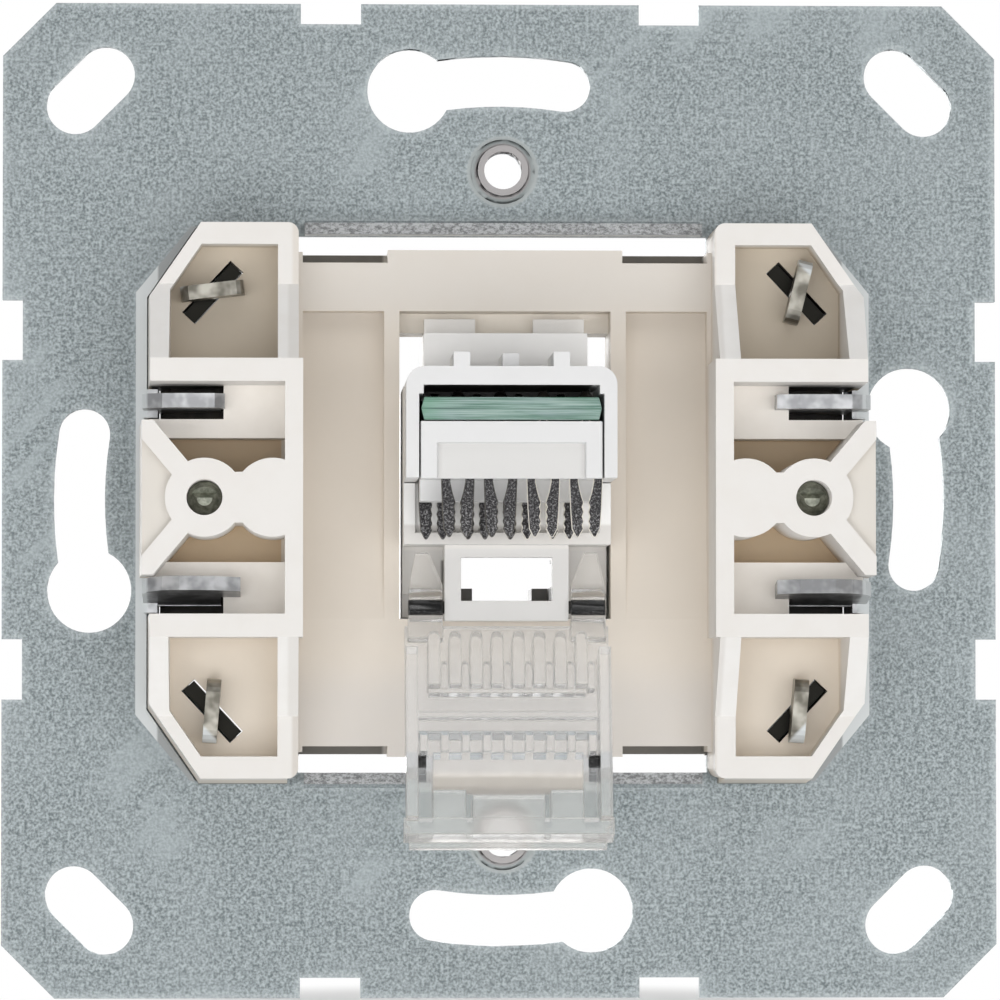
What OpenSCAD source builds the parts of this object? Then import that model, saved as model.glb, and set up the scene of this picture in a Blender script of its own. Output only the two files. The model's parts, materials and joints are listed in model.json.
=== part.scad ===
// Flush-mounted data socket insert: steel support plate, moulded carrier and a modular jack
// with a hinged wire cover. Millimetres.
// X points right and Z up as seen from behind, Y points from the wall box towards the room.
// The plate's rear face lies on Y = 0 and the plate's centre is the origin.

/* [Plate] */
// Side of the square steel plate
plate_w = 71; // [70:0.5:72]
// Thickness of the steel sheet
sheet_t = 1.0; // [0.9:0.05:1.1]
// Cut of the plate's corners along each side
corner_cut = 3.8; // [3:0.1:4.5]
// Distance of the edge notches from the middle of each side
notch_x = 12.1; // [11:0.1:13]
// Width of an edge notch
notch_w = 4.3; // [3.5:0.1:5]
// Depth of an edge notch
notch_d = 1.45; // [1.0:0.05:1.8]
// Distance of the circle of box screws from the plate's sides
circle_edge = 5.5; // [5.2:0.1:5.8]
// Width of the narrow part of a keyhole
keyhole_w = 3.65; // [3.4:0.05:4.0]
// Radius of the round part of a keyhole
keyhole_r = 3.0; // [2.8:0.05:3.2]
// Angle from the axis to the centre of the round part
keyhole_round_a = 12.5; // [11:0.5:14]
// Angle from the axis to the end of the narrow part
keyhole_end_a = 8.9; // [8:0.1:10]
// Distance of the corner slots' centres from the plate's sides
slot_edge = 6.25; // [5.9:0.05:6.7]
// Width of a corner slot
slot_w = 4.1; // [3.6:0.1:4.4]
// Distance between the round ends of a corner slot
slot_len = 3.1; // [2.6:0.1:3.4]
// Sheet left between a keyhole and the opening
keyhole_land = 2.5; // [2.3:0.05:2.7]
// Offset of the cover screw holes from the middle between collar and keyhole
cover_shift = 0.26; // [0.1:0.01:0.4]
// Radius of the cover screw holes
cover_screw_r = 1.35; // [1.2:0.05:1.5]
// Height of the collar behind the plate
collar_h = 2.2; // [1.6:0.1:2.8]
// Thickness of the drawn-out collar
collar_t = 0.8; // [0.7:0.05:0.95]
// Width of the lip beside the carrier
lip_w = 0.85; // [0.7:0.05:1.0]
// Height of the lip beside the carrier
lip_h = 1.0; // [0.8:0.05:1.2]
// Offset of the opening from the plate's centre, to the right
insert_x = 0.18; // [0:0.02:0.3]
// Offset of the opening from the plate's centre, upwards
insert_z = -0.3; // [-0.4:0.02:0]

/* [Tabs] */
// Width of a twisted tab
tab_w = 4.5; // [4.1:0.1:4.7]
// Length of a twisted tab's slot in the carrier
tab_slot_w = 5.0; // [4.9:0.05:5.2]
// Play on each side of a tab's sheet in its slot
tab_play = 0.12; // [0.08:0.02:0.2]
// Height of a twisted tab's head
tab_head_h = 2.2; // [1.8:0.1:2.6]
// Width of the tongue that carries a hook
hook_w = 2.0; // [1.7:0.1:2.2]
// Height of the hooks behind the plate
hook_h = 10.8; // [10.2:0.1:11.4]

/* [Carrier] */
// Width of the carrier's seat on the sheet beside the opening
seat_w = 0.8; // [0.7:0.05:0.9]
// Play between the carrier and the lip
lip_play = 0.06; // [0.04:0.01:0.1]
// Half height of the carrier at the plate
box_half_h = 19.95; // [19.7:0.05:20.1]
// Distance of the boxes' inner sides from the middle
box_in = 14.3; // [14.0:0.05:14.5]
// Height of the boxes in the middle part
box_h = 14; // [13.6:0.1:14.4]
// Height of the boxes at the corners
box_corner_h = 8.5; // [8.2:0.1:8.9]
// Height of the corner pockets' floor
floor_h = 5; // [4.8:0.1:5.2]
// Thickness of the box walls
wall_t = 1.6; // [1.5:0.05:1.7]
// Height of the ledges that the hooks hold
ledge_h = 8; // [7.8:0.1:8.2]
// Height of the deep pockets' floor
deep_h = 4.2; // [4:0.1:4.6]
// Distance of the screw bosses from the carrier's sides
boss_edge = 4.18; // [4.1:0.02:4.26]
// Set-back of the inner walls at the corners
corner_back = 0.3; // [0.2:0.05:0.35]
// Radius of the bosses
boss_r = 2.73; // [2.6:0.05:2.85]
// Radius of the bore of a boss
boss_bore_r = 1.25; // [1.2:0.05:1.35]
// Play of a screw in its boss
screw_play = 0.05; // [0.03:0.01:0.1]
// Height of the screw tips behind the plate
screw_tip_h = 12.4; // [11.8:0.1:12.9]
// Rear level of the web
web_h = 5; // [4.8:0.1:5.2]
// Half width of the jack opening
jack_open_w = 7.47; // [7.42:0.01:7.52]
// Thickness of the guides beside the jack
guide_t = 1.08; // [1.0:0.02:1.2]

/* [Jack] */
// Half width of the jack
jack_half_w = 7.25; // [7.2:0.01:7.3]
// Distance of the jack's front face in front of the plate's rear face
jack_front = 9.5; // [9:0.1:10]
// Rear end of the shroud behind the plate
shroud_h = 18; // [17.8:0.1:18.4]
// Top of the shroud
shroud_top = 8.89; // [8.8:0.02:9.0]
// Thickness of the circuit board
board_t = 1.55; // [1.5:0.05:1.6]
// Pitch of the forked contacts
idc_pitch = 1.47; // [1.45:0.01:1.5]
// Thickness of the forked contacts
idc_t = 0.5; // [0.45:0.05:0.55]
// Depth of the first row of forked contacts
idc_row_1 = 11; // [10.8:0.1:11.2]
// Depth of the second row of forked contacts
idc_row_2 = 16.6; // [16.4:0.1:16.8]
// Pitch of the port contacts
port_pitch = 1.02; // [1.0:0.01:1.04]
// Half width of the plug port
port_half_w = 5.9; // [5.85:0.01:6.0]

/* [Cover] */
// Height of the hinge axis
hinge_z = -7.5; // [-7.6:0.05:-7.4]
// Depth of the hinge axis behind the plate
hinge_h = 7.2; // [7.1:0.05:7.3]
// Radius of the hinge pins
pin_r = 0.45; // [0.4:0.05:0.5]
// Running play round a hinge pin
pin_play = 0.06; // [0.04:0.01:0.1]
// Length of the cover from the hinge axis
cover_len = 16.85; // [16.5:0.05:17.2]
// Half width of the cover
cover_half_w = 7.15; // [7.05:0.05:7.2]
// Thickness of the cover's floor
cover_t = 1.0; // [0.9:0.05:1.1]
// Height of the cover's side walls
cover_wall_h = 3.4; // [3.0:0.1:3.5]
// Angle by which the cover hangs open
cover_open = 76; // [74:1:78]

/* [Hidden] */
FORK = [1, 2, 3, 4, 5, 6, 7, 8];
$fn = 32;
steel = [0.62, 0.66, 0.68];
cream = [0.92, 0.9, 0.86];
white = [0.95, 0.95, 0.94];
half = plate_w / 2;
screw_circle_r = half - circle_edge;
slot_pos = half - slot_edge;
// Opening of the plate
open_z = box_half_h - 0.8;
open_side_z = box_half_h - 1.95;
open_x = screw_circle_r - keyhole_r - keyhole_land;
cover_screw_z = (open_z + collar_t + screw_circle_r - keyhole_w / 2) / 2 - cover_shift;
ring_r = cover_screw_r + 0.45;
// Carrier's half width at the plate, and the twisted tabs in its corners
box_half_w = open_x + seat_w;
boss_x = box_half_w - boss_edge;
tab_x = box_half_w - 4.65;
tab_z = box_half_h - 5.18;
tab_slope = 47;
tab_run = tan(tab_slope);
// Corners as [side, height, angle of the twisted head, length of the hook's nose, lean of the hook]
CORNERS = [[-1, 1, 6.8, 0.1, 0], [1, 1, 76, 1.0, 0], [-1, -1, 85.5, 1.2, 10], [1, -1, 85, 1.0, 8]];
slot_in = box_half_w - 5.45;
slot_z0 = 5.67;
slot_z1 = 8.05;
bar_z1 = 9.65;
ledge_z = 4.35;
corner_z = bar_z1 + box_h - box_corner_h;
pocket_in = box_in + 1.75;
mid_in = box_in + 1.25;
panel_h0 = -2.6;
panel_h1 = -1.0;
web_t = 3;
panel_play = 0.06;
screw_head_r = 2.3;
web_top = 17.8;
web_low = -18.0;
panel_z = 17.85;
jack_open_z0 = -8.28;
jack_open_z1 = 12.1;
recess_z = 13.48;
shelf_h = web_h - 3.2;
jack_low = -8.15;
jack_top = 8.0;
housing_h = 8;
base_h = 9.4;
base_low = -3.13;
base_top = 1.16;
hinge_half_w = 4.35;
latch_half_w = jack_half_w - 1.47;
latch_gap = 1.45;
latch_t = 2.42;
latch_h = web_h + 1.0;
latch_pad_x = 2.06;
// Cover, measured along it from the hinge: eyes, fingers, ridge and comb
eye_r = 1.45;
lug_h = 3.85;
finger_z0 = 2.35;
finger_z1 = 6.2;
ridge_z = 7.7;
comb_z0 = 9.45;
comb_z1 = 10.85;
pin_in = 3.4;
pin_out = 6.9;
board_z = 5.22;
board_half_w = 6.2;
cavity_half_w = 6.37;
block_half_w = cavity_half_w - 0.12;
block_top = board_z - 0.1;
insert_z0 = 2.72;
insert_h1 = 6.6;
fork_tip = -2.84;
bump_x = box_in + 2.09;
mid_out = 0.6;

// Stands the model up: the drawing plane becomes the wall plane and height turns to the rear
module upright() {
    rotate([90, 0, 0]) children();
}

// Moves a piece to the centre of the opening
module seat() {
    upright() translate([insert_x, insert_z, 0]) children();
}

// Box between two corners
module block(x0, x1, y0, y1, z0, z1) {
    translate([x0, y0, z0]) cube([x1 - x0, y1 - y0, z1 - z0]);
}

// Profile of height over width, pulled along X
module along_x(x0, x1) {
    translate([x0, 0, 0]) rotate([90, 0, 90]) linear_extrude(x1 - x0) children();
}

// Round bar along X
module bar_x(x0, x1, y, z, r) {
    translate([x0, y, z]) rotate([0, 90, 0]) cylinder(r = r, h = x1 - x0);
}

module plate_blank() {
    c = half - corner_cut;
    translate([0, 0, -sheet_t]) linear_extrude(sheet_t)
        polygon([[c, half], [half, c], [half, -c], [c, -half], [-c, -half], [-half, -c],
                 [-half, c], [-c, half]]);
}

module plate_cuts() {
    for (q = [0 : 3]) rotate([0, 0, 90 * q]) {
        for (s = [-1, 1])
            block(s * notch_x - notch_w / 2, s * notch_x + notch_w / 2, half - notch_d, half + 1,
                  -sheet_t - 1, 1);
        rotate([0, 0, 90 - keyhole_end_a])
            rotate_extrude(angle = keyhole_end_a + keyhole_round_a)
                translate([screw_circle_r - keyhole_w / 2, -sheet_t - 1])
                    square([keyhole_w, sheet_t + 2]);
        rotate([0, 0, 90 - keyhole_end_a]) translate([screw_circle_r, 0, -sheet_t - 1])
            cylinder(r = keyhole_w / 2, h = sheet_t + 2);
        rotate([0, 0, 90 + keyhole_round_a]) translate([screw_circle_r, 0, -sheet_t - 1])
            cylinder(r = keyhole_r, h = sheet_t + 2);
        translate([slot_pos, slot_pos, -sheet_t - 1]) rotate([0, 0, -45]) {
            for (s = [-1, 1]) translate([s * slot_len / 2, 0, 0])
                cylinder(r = slot_w / 2, h = sheet_t + 2);
            translate([-slot_len / 2, -slot_w / 2, 0]) cube([slot_len, slot_w, sheet_t + 2]);
        }
    }
}

// Right half of the opening's outline, drawn in by one amount and at the ears by another
function ear_x(z, d, e) = tab_x - e * sin(tab_slope) - (z - tab_z + e * cos(tab_slope)) / tab_run;
function ear_z(x, d, e) = tab_z - e * cos(tab_slope) - (x - tab_x + e * sin(tab_slope)) * tab_run;
function side_outline(d, e) = [
    [box_in + 0.3 - d, open_side_z - d], [ear_x(open_side_z - d, d, e), open_side_z - d],
    [open_x - d, ear_z(open_x - d, d, e)], [open_x - d, -ear_z(open_x - d, d, e)],
    [ear_x(open_side_z - d, d, e), -open_side_z + d], [box_in + 0.3 - d, -open_side_z + d]];

module plate_opening() {
    b = box_in + 0.3;
    r = side_outline(0, 0);
    l = [for (i = [5 : -1 : 0]) [-r[i][0], r[i][1]]];
    translate([0, 0, -sheet_t - 1]) linear_extrude(sheet_t + 2)
        polygon(concat([[b, open_z]], r, [[b, -open_z], [-b, -open_z]], l, [[-b, open_z]]));
}

// Outline of the carrier at the plate, widened at its sides and at its corners
function box_outline(d, e) = let (cx = box_half_w - 3.65 + e, cz = box_half_h - 5.34 + e, w = box_half_w + d,
                                  h = box_half_h)
    [[cx, h], [w, cz], [w, -cz], [cx, -h], [-cx, -h], [-w, -cz], [-w, cz], [-cx, h]];

// Low lip of the sheet round the carrier's sides
module lip() {
    x0 = box_in + 2;
    intersection() {
        translate([0, 0, -sheet_t / 2]) linear_extrude(lip_h + sheet_t / 2) difference() {
            polygon(box_outline(lip_w, 0.42));
            polygon(box_outline(lip_play, lip_play));
        }
        for (s = [-1, 1]) scale([s, 1, 1])
            block(x0, half, -box_half_h + 0.2, box_half_h - 0.2, -sheet_t, lip_h + 1);
    }
}

module collar(s) {
    along_x(-box_in + 0.15, box_in - 0.15)
        polygon([[s * open_z, -sheet_t], [s * open_z, collar_h], [s * (open_z + collar_t), collar_h],
                 [s * (open_z + collar_t), 0.3], [s * (open_z + collar_t + 0.3), 0],
                 [s * (open_z + collar_t + 0.3), -sheet_t]]);
}

// Upper outline of a rounded head, from its right foot to its left foot
function head(w, h, r) = concat([[w / 2, 0]],
    [for (a = [0 : 22.5 : 90]) [w / 2 - r + r * cos(a), h - r + r * sin(a)]],
    [for (a = [90 : 22.5 : 180]) [r - w / 2 + r * cos(a), h - r + r * sin(a)]], [[-w / 2, 0]]);

module twist_tab(c) {
    foot = tab_slot_w - 0.1;
    translate([c[0] * tab_x, c[1] * tab_z, 0]) {
        rotate([0, 0, -c[0] * c[1] * tab_slope])
            block(-foot / 2, foot / 2, -sheet_t / 2, sheet_t / 2, -sheet_t, floor_h - 0.9);
        translate([0, 0, floor_h - 1]) cylinder(r = sheet_t * 0.52, h = 2);
        rotate([0, 0, c[2]]) translate([0, sheet_t / 2, floor_h + 0.4]) rotate([90, 0, 0])
            linear_extrude(sheet_t) polygon(head(tab_w, tab_head_h, 0.9));
    }
}

module hook(c) {
    x1 = open_x + sheet_t;
    y = (slot_z0 + slot_z1) / 2;
    nose = slot_in - c[3];
    bend_h = 5;
    scale([c[0], c[1], 1]) {
        block(open_x, x1, y - hook_w / 2, y + hook_w / 2, -sheet_t, bend_h + 1);
        translate([0, y + sheet_t / 2, 0]) rotate([90, 0, 0]) linear_extrude(sheet_t)
            polygon([[x1, 1], [x1, bend_h + 0.3], [slot_in + 0.2, bend_h + 0.3], [open_x, 1]]);
        translate([0, y, bend_h]) rotate([c[4], 0, 0]) translate([0, sheet_t / 2, 0])
            rotate([90, 0, 0]) linear_extrude(sheet_t) translate([0, -bend_h])
                polygon([[x1, bend_h], [x1, hook_h - 1.5], [x1 - 0.4, hook_h - 0.7],
                         [x1 - 1.4, hook_h - 0.15], [x1 - 2.6, hook_h], [slot_in + 0.6, hook_h - 0.1],
                         [nose, hook_h - 0.5], [nose, ledge_h + 0.15], [slot_in + 0.2, ledge_h + 0.15],
                         [slot_in + 0.2, bend_h]]);
    }
}

module support_plate() {
    color(steel) {
        difference() {
            union() {
                upright() plate_blank();
                seat() for (s = [-1, 1]) translate([0, s * cover_screw_z, 0]) {
                    translate([0, 0, -sheet_t / 2]) cylinder(r = ring_r, h = sheet_t / 2 + 1.2);
                    translate([0, 0, -0.1]) cylinder(r1 = ring_r + 0.65, r2 = ring_r - 0.05, h = 0.5);
                }
            }
            upright() plate_cuts();
            seat() plate_opening();
            seat() for (s = [-1, 1]) translate([0, s * cover_screw_z, -sheet_t - 1])
                cylinder(r = cover_screw_r, h = sheet_t + 4);
        }
        seat() {
            lip();
            for (s = [-1, 1]) collar(s);
            for (c = CORNERS) {
                twist_tab(c);
                hook(c);
            }
        }
    }
}

// Body of the carrier at its corners, drawn in by the draft of its walls
module envelope() {
    linear_extrude(box_h, scale = [0.984, 0.962]) polygon(box_outline(0, 0));
}

// Body of the carrier between the hooks, which stands out over the lip
module mid_envelope() {
    z = slot_z0 - 0.32;
    translate([0, z, 0]) rotate([90, 0, 0]) linear_extrude(2 * z)
        polygon([[box_in, 0], [box_half_w, 0], [box_half_w, lip_h + 0.2], [box_half_w + mid_out, lip_h + 0.2],
                 [box_half_w + mid_out - 0.45, box_h], [box_in, box_h]]);
}

// Corner pocket of the right-hand upper box, from one height upwards
module corner_pocket(h) {
    x1 = box_half_w - wall_t - 0.1;
    z1 = box_half_h - wall_t - 0.4;
    translate([0, 0, h]) linear_extrude(box_h)
        polygon([[pocket_in, bar_z1], [x1, bar_z1], [x1, z1 - 3.2], [x1 - 2.2, z1], [pocket_in, z1]]);
}

module box_shell() {
    x1 = box_half_w - wall_t;
    top_z = box_half_h - 0.46;
    corner_r = 0.75;
    corner_x = box_in + corner_back;
    difference() {
        intersection() {
            envelope();
            block(box_in, box_half_w + 1, -box_half_h, box_half_h, 0, box_h);
        }
        // Hollow under the floor
        block(pocket_in, x1, -slot_z0 + 0.2, slot_z0 - 0.2, -1, deep_h - 1.4);
        for (s = [-1, 1]) scale([1, s, 1]) {
            block(pocket_in, x1, slot_z0 - 0.3, bar_z1, -1, floor_h - 1.8);
            translate([0, 0, floor_h - 1.8 - box_h]) corner_pocket(0);
            // Slopes from the middle part down to the corners
            along_x(box_in - 1, box_half_w + 1)
                polygon([[bar_z1, box_h], [corner_z, box_corner_h], [box_half_h + 1, box_corner_h],
                         [box_half_h + 1, box_h + 1], [bar_z1, box_h + 1]]);
            corner_pocket(floor_h);
            translate([tab_x, tab_z, 0]) rotate([0, 0, -tab_slope])
                block(-tab_slot_w / 2, tab_slot_w / 2, -sheet_t / 2 - tab_play, sheet_t / 2 + tab_play,
                      -1, floor_h + 1);
            // Ledge and slot of the hook
            block(mid_in, box_half_w + 1, ledge_z - 0.01, slot_z1, ledge_h, box_h + 1);
            block(slot_in, box_half_w + 1, slot_z0, slot_z1, -1, box_h + 1);
            // Round corner beside the web
            difference() {
                block(box_in - 1, corner_x + corner_r, top_z - corner_r, top_z + 2, -1, box_h);
                translate([corner_x + corner_r, top_z - corner_r, -2]) cylinder(r = corner_r, h = box_h + 4);
            }
            // Corner part of the inner wall, set back behind the middle part
            block(box_in - 1, corner_x, bar_z1, box_half_h + 1, -1, box_h + 1);
        }
        block(mid_in, box_half_w + 1, -ledge_z, ledge_z, deep_h, box_h + 1);
    }
}

// Screw boss, its twin at the inner wall and the ribs to the outer wall
module boss_group() {
    intersection() {
        mid_envelope();
        union() {
            for (x = [boss_x, bump_x]) translate([x, 0, 0]) cylinder(r = boss_r, h = box_h);
            block(bump_x, boss_x, -1.75, 1.75, deep_h - 0.5, box_h);
            for (s = [-1, 1]) translate([boss_x, 0, deep_h - 0.5]) rotate([0, 0, s * 50])
                translate([0, -0.72, 0]) cube([9, 1.44, box_h]);
            translate([0, 0, deep_h - 0.5]) linear_extrude(box_h - 0.2 - deep_h)
                polygon([[boss_x, 0], [box_half_w + 1, 6.4], [box_half_w + 1, -6.4]]);
        }
    }
}

module side_box() {
    difference() {
        union() {
            box_shell();
            boss_group();
        }
        translate([boss_x, 0, -1]) cylinder(r = boss_bore_r, h = box_h + 2);
    }
}

// Front face of the carrier at its sides, which stands in the opening
module front_panel() {
    for (s = [-1, 1]) scale([s, 1, 1])
        translate([0, 0, panel_h0]) linear_extrude(panel_h1 - panel_h0)
            polygon(side_outline(panel_play, 0.9));
}

module web() {
    x = box_in + 0.4;
    difference() {
        union() {
            block(-x, x, web_low + 0.75, web_top - 0.9, web_h - web_t, web_h);
            block(-8.3, 8.3, web_low, web_top, web_h - web_t, web_h);
            block(-x, x, -panel_z, panel_z, panel_h0, panel_h1);
            front_panel();
            for (s = [-1, 1]) {
                block(s * (jack_open_w + guide_t / 2) - guide_t / 2,
                      s * (jack_open_w + guide_t / 2) + guide_t / 2, jack_open_z0, recess_z, panel_h0, web_h);
                block(s * (box_in + 0.75) - 0.75, s * (box_in + 0.75) + 0.75, -open_side_z + 0.35,
                      open_side_z - 0.35, panel_h0, web_h);
            }
            block(-jack_open_w - guide_t, jack_open_w + guide_t, recess_z, recess_z + 1.2, panel_h0, web_h);
        }
        block(-jack_open_w, jack_open_w, jack_open_z0, recess_z, panel_h1, web_h + 1);
        block(-jack_open_w, jack_open_w, jack_open_z0, jack_open_z1, panel_h0 - 1, web_h + 1);
        // Room for the screw heads
        for (s = [-1, 1]) translate([s * boss_x, 0, panel_h0 - 1])
            cylinder(r = screw_head_r + 0.3, h = 1 - panel_h0);
        for (s = [-1, 1]) scale([s, 1, 1])
            along_x(jack_open_w + guide_t, box_in)
                polygon([[recess_z, web_h - 2], [recess_z, web_h + 1], [jack_open_z0, web_h + 1],
                         [jack_open_z0, web_h]]);
    }
    // Shelf that the jack's latch snaps behind
    block(-jack_open_w - 0.1, jack_open_w + 0.1, jack_open_z1, recess_z + 0.1, panel_h0 + 0.3, shelf_h);
}

module carrier() {
    color(cream) seat() {
        for (s = [-1, 1]) scale([s, 1, 1]) side_box();
        web();
    }
}

module carrier_screws() {
    r = boss_bore_r - screw_play;
    color(steel) seat() for (s = [-1, 1]) translate([s * boss_x, 0, 0]) difference() {
        union() {
            translate([0, 0, -1.9]) cylinder(r = screw_head_r, h = 1.9);
            translate([0, 0, -0.1]) cylinder(r = r, h = screw_tip_h - 0.8);
            translate([0, 0, screw_tip_h - 0.9]) cylinder(r1 = r, r2 = r * 0.45, h = 0.9);
        }
        for (a = [0, 90]) rotate([0, 0, a]) block(-1.5, 1.5, -0.3, 0.3, -3, -0.9);
        // Cutting edge ground into the tip
        translate([0, 0.25, screw_tip_h]) rotate([32, 0, 0]) block(-2, 2, -0.2, 2, -0.55, 2);
    }
}

module jack_latch() {
    z1 = jack_top + latch_gap;
    z2 = z1 + latch_t;
    along_x(-latch_half_w, latch_half_w)
        polygon([[jack_top - 0.4, 0.7 - jack_front], [jack_top + 1, 0.7 - jack_front], [z2 - 0.67, -3.0],
                 [z2 - 0.67, panel_h1], [z2, panel_h1], [z2, latch_h], [z1, latch_h], [z1, -1.5],
                 [jack_top, 3.1 - jack_front], [jack_top - 0.4, 3.1 - jack_front]]);
    for (s = [-1, 1]) scale([s, 1, 1])
        block(latch_pad_x, latch_half_w - 0.1, z2 - 0.4, z2 + 1.18, shelf_h, shelf_h + 1.2);
}

module jack_housing() {
    w = jack_half_w;
    color(white) seat() {
        difference() {
            union() {
                block(-w, w, jack_low, jack_top, -jack_front, 3.3);
                block(-w, w, base_low, jack_top, 3.2, housing_h);
                block(-w, w, base_low, base_top, 3.2, base_h);
                block(-hinge_half_w, hinge_half_w, jack_low, base_low + 0.1, 3.2, housing_h);
                block(-hinge_half_w, hinge_half_w, jack_low - 0.3, jack_low + 0.1, web_h + 0.15, housing_h);
                block(-3, 3, jack_low - 0.8, jack_low + 0.1, panel_h1, 0.4);
                block(-3, 3, jack_low - 0.8, jack_low + 0.1, panel_h0 - 1, panel_h0);
            }
            // Plug port with the steps of the plug's latch
            block(-port_half_w, port_half_w, -4.4, 2.0, -jack_front - 1, 2.6);
            block(-3.95, 3.95, -6.0, -4.3, -jack_front - 1, 6.5);
            block(-2.13, 2.13, -7.1, -5.9, -jack_front - 1, 6.5);
            block(-3.25, 3.25, -7.1, -3.2, -1.5, 6.5);
            // Room for the ends of the cover's eyes, and seats of the hinge pins
            for (s = [-1, 1]) scale([s, 1, 1])
                block(hinge_half_w + 0.85, w + 1, hinge_z - 1, hinge_z + 1, 2.9, 4);
            for (s = [-1, 1]) scale([s, 1, 1])
                bar_x(pin_in, hinge_half_w + 1, hinge_z, hinge_h, pin_r + 0.02);
            // Window of the rear wall
            block(-3.2, 3.2, -7.05, -4.0, 6, housing_h + 1);
            // Chamber of the board and of the contact insert
            block(-6.3, 6.3, insert_z0, board_z + board_t + 0.2, -3.2, housing_h + 1);
            block(-5.2, 5.2, 1.9, insert_z0 + 0.1, -6.4, 5.0);
            // Seat behind the forks
            block(-6.45, 6.45, -2.3, base_top + 1, base_h - 0.7, base_h + 1);
        }
        jack_latch();
    }
}

module rear_shroud() {
    w = jack_half_w;
    r = 1.25;
    color(white) seat() difference() {
        union() {
            block(-w, w, 1.23, shroud_top - r, housing_h, shroud_h);
            block(-w + r, w - r, shroud_top - r - 0.1, shroud_top, housing_h, shroud_h);
            for (s = [-1, 1]) translate([s * (w - r), shroud_top - r, housing_h])
                cylinder(r = r, h = shroud_h - housing_h);
            for (s = [-1, 1]) block(s * 3.43 - 0.56, s * 3.43 + 0.56, shroud_top - 0.1, shroud_top + 0.98,
                                    housing_h, shroud_h);
            block(-0.56, 0.56, shroud_top - 0.1, shroud_top + 0.98, housing_h, shroud_h - 2);
        }
        block(-cavity_half_w, cavity_half_w, 0, 7.0, housing_h - 1, shroud_h + 1);
        block(-6.06, 6.06, 6.9, shroud_top - 1.28, housing_h - 1, shroud_h + 1);
        // Clearance over the base of the housing
        block(-w - 1, w + 1, 0, base_top + 0.08, housing_h - 1, base_h);
    }
}

function fork_x(i) = (i - 4.5) * idc_pitch;
function fork_h(i) = i % 2 == 1 ? idc_row_1 : idc_row_2;

module circuit_board() {
    color([0.35, 0.6, 0.5]) seat() difference() {
        translate([0, board_z, -2.8]) linear_extrude(shroud_h + 2.4)
            polygon([[-board_half_w + 0.2, 0], [board_half_w - 0.2, 0], [board_half_w, board_t / 2],
                     [board_half_w - 0.2, board_t], [-board_half_w + 0.2, board_t],
                     [-board_half_w, board_t / 2]]);
        for (i = FORK) translate([fork_x(i), board_z - 1, fork_h(i)]) rotate([-90, 0, 0])
            cylinder(r = 0.5, h = board_t + 2);
    }
}

module idc_block() {
    color(white) seat() difference() {
        union() {
            block(-block_half_w, block_half_w, base_top + 0.02, block_top, housing_h, shroud_h - 0.3);
            block(-block_half_w, block_half_w, -0.3, base_top + 0.1, 12.2, 14.8);
        }
        block(-5.1, 5.1, 0, 3.63, shroud_h - 0.85, shroud_h + 1);
        for (i = FORK) {
            h0 = fork_h(i) - idc_t / 2 - 0.05;
            block(fork_x(i) - 0.52, fork_x(i) + 0.52, -1, block_top + 1, h0, h0 + idc_t + 0.1);
            block(fork_x(i) - 1.2, fork_x(i) + 1.2, -1, 1.9, h0, h0 + idc_t + 0.1);
        }
    }
}

// Outline of one leg of a fork, with its clamping teeth
LEG = [[0, 1.4], [0, 3.0], [0.45, 3.0], [0.45, 1.8], [1.15, 1.8], [1.15, 0.9], [1.08, -0.9], [0.98, -2.25],
       [0.68, fork_tip], [0.5, fork_tip], [0.16, -2.25], [0.25, -2.0], [0.14, -1.75], [0.25, -1.4],
       [0.14, -1.1], [0.25, -0.75], [0.14, -0.45], [0.25, -0.15], [0.38, 0.3], [0.52, 1.0], [0.5, 1.4]];

module idc_contact(i) {
    color([0.75, 0.76, 0.78]) seat() translate([fork_x(i), 0, fork_h(i) - idc_t / 2]) {
        for (s = [-1, 1]) linear_extrude(idc_t) polygon([for (p = LEG) [s * p[0], p[1]]]);
        block(-0.45, 0.45, 2.9, board_z - 0.02, 0, idc_t);
        block(-0.24, 0.24, board_z - 0.1, board_z + board_t + 0.45, 0, idc_t);
        translate([0, board_z + board_t + 0.01, idc_t / 2]) rotate([-90, 0, 0])
            cylinder(r1 = 0.55, r2 = 0.28, h = 0.4);
    }
}

module contact_insert() {
    color(white) seat() difference() {
        block(-5.9, 5.9, insert_z0, board_z, -2.8, insert_h1);
        for (i = FORK) block(port_x(i) - 0.23, port_x(i) + 0.23, insert_z0 - 1, board_z + 1, 4.3, 4.8);
    }
}

function port_x(i) = (i - 4.5) * port_pitch;

module port_contact(i) {
    color([0.85, 0.7, 0.3]) seat() along_x(port_x(i) - 0.18, port_x(i) + 0.18)
        polygon([[board_z, 4.35], [board_z, 4.7], [2.35, 4.7], [2.35, -5.2], [2.15, -5.7], [0.45, 1.6],
                 [0.15, 1.5], [1.95, -6.1], [2.3, -6.2], [2.7, -5.4], [2.7, 4.35]]);
}

module hinge_pins() {
    color(steel) seat() for (s = [-1, 1]) scale([s, 1, 1])
        bar_x(pin_in + 0.02, pin_out, hinge_z, hinge_h, pin_r);
}

// Eye of the cover: tapered in front view, round about the pin in side view
module cover_lug() {
    difference() {
        intersection() {
            union() {
                bar_x(4, 7.5, 0, 0, eye_r);
                along_x(4, 7.5) polygon([[-1.2, 0], [-0.6, -1.6], [-0.5, -lug_h], [0.7, -lug_h], [1.4, 0],
                                         [1.2, 2.5], [-cover_t, 2.5]]);
            }
            translate([0, 3, 0]) rotate([90, 0, 0]) linear_extrude(6)
                polygon([[5.45, -lug_h], [6.4, -lug_h], [6.85, -1.5], [6.95, 2.5], [4.5, 2.5], [4.5, -1.35]]);
        }
        bar_x(3, 8, 0, 0, pin_r + pin_play);
    }
}

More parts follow.
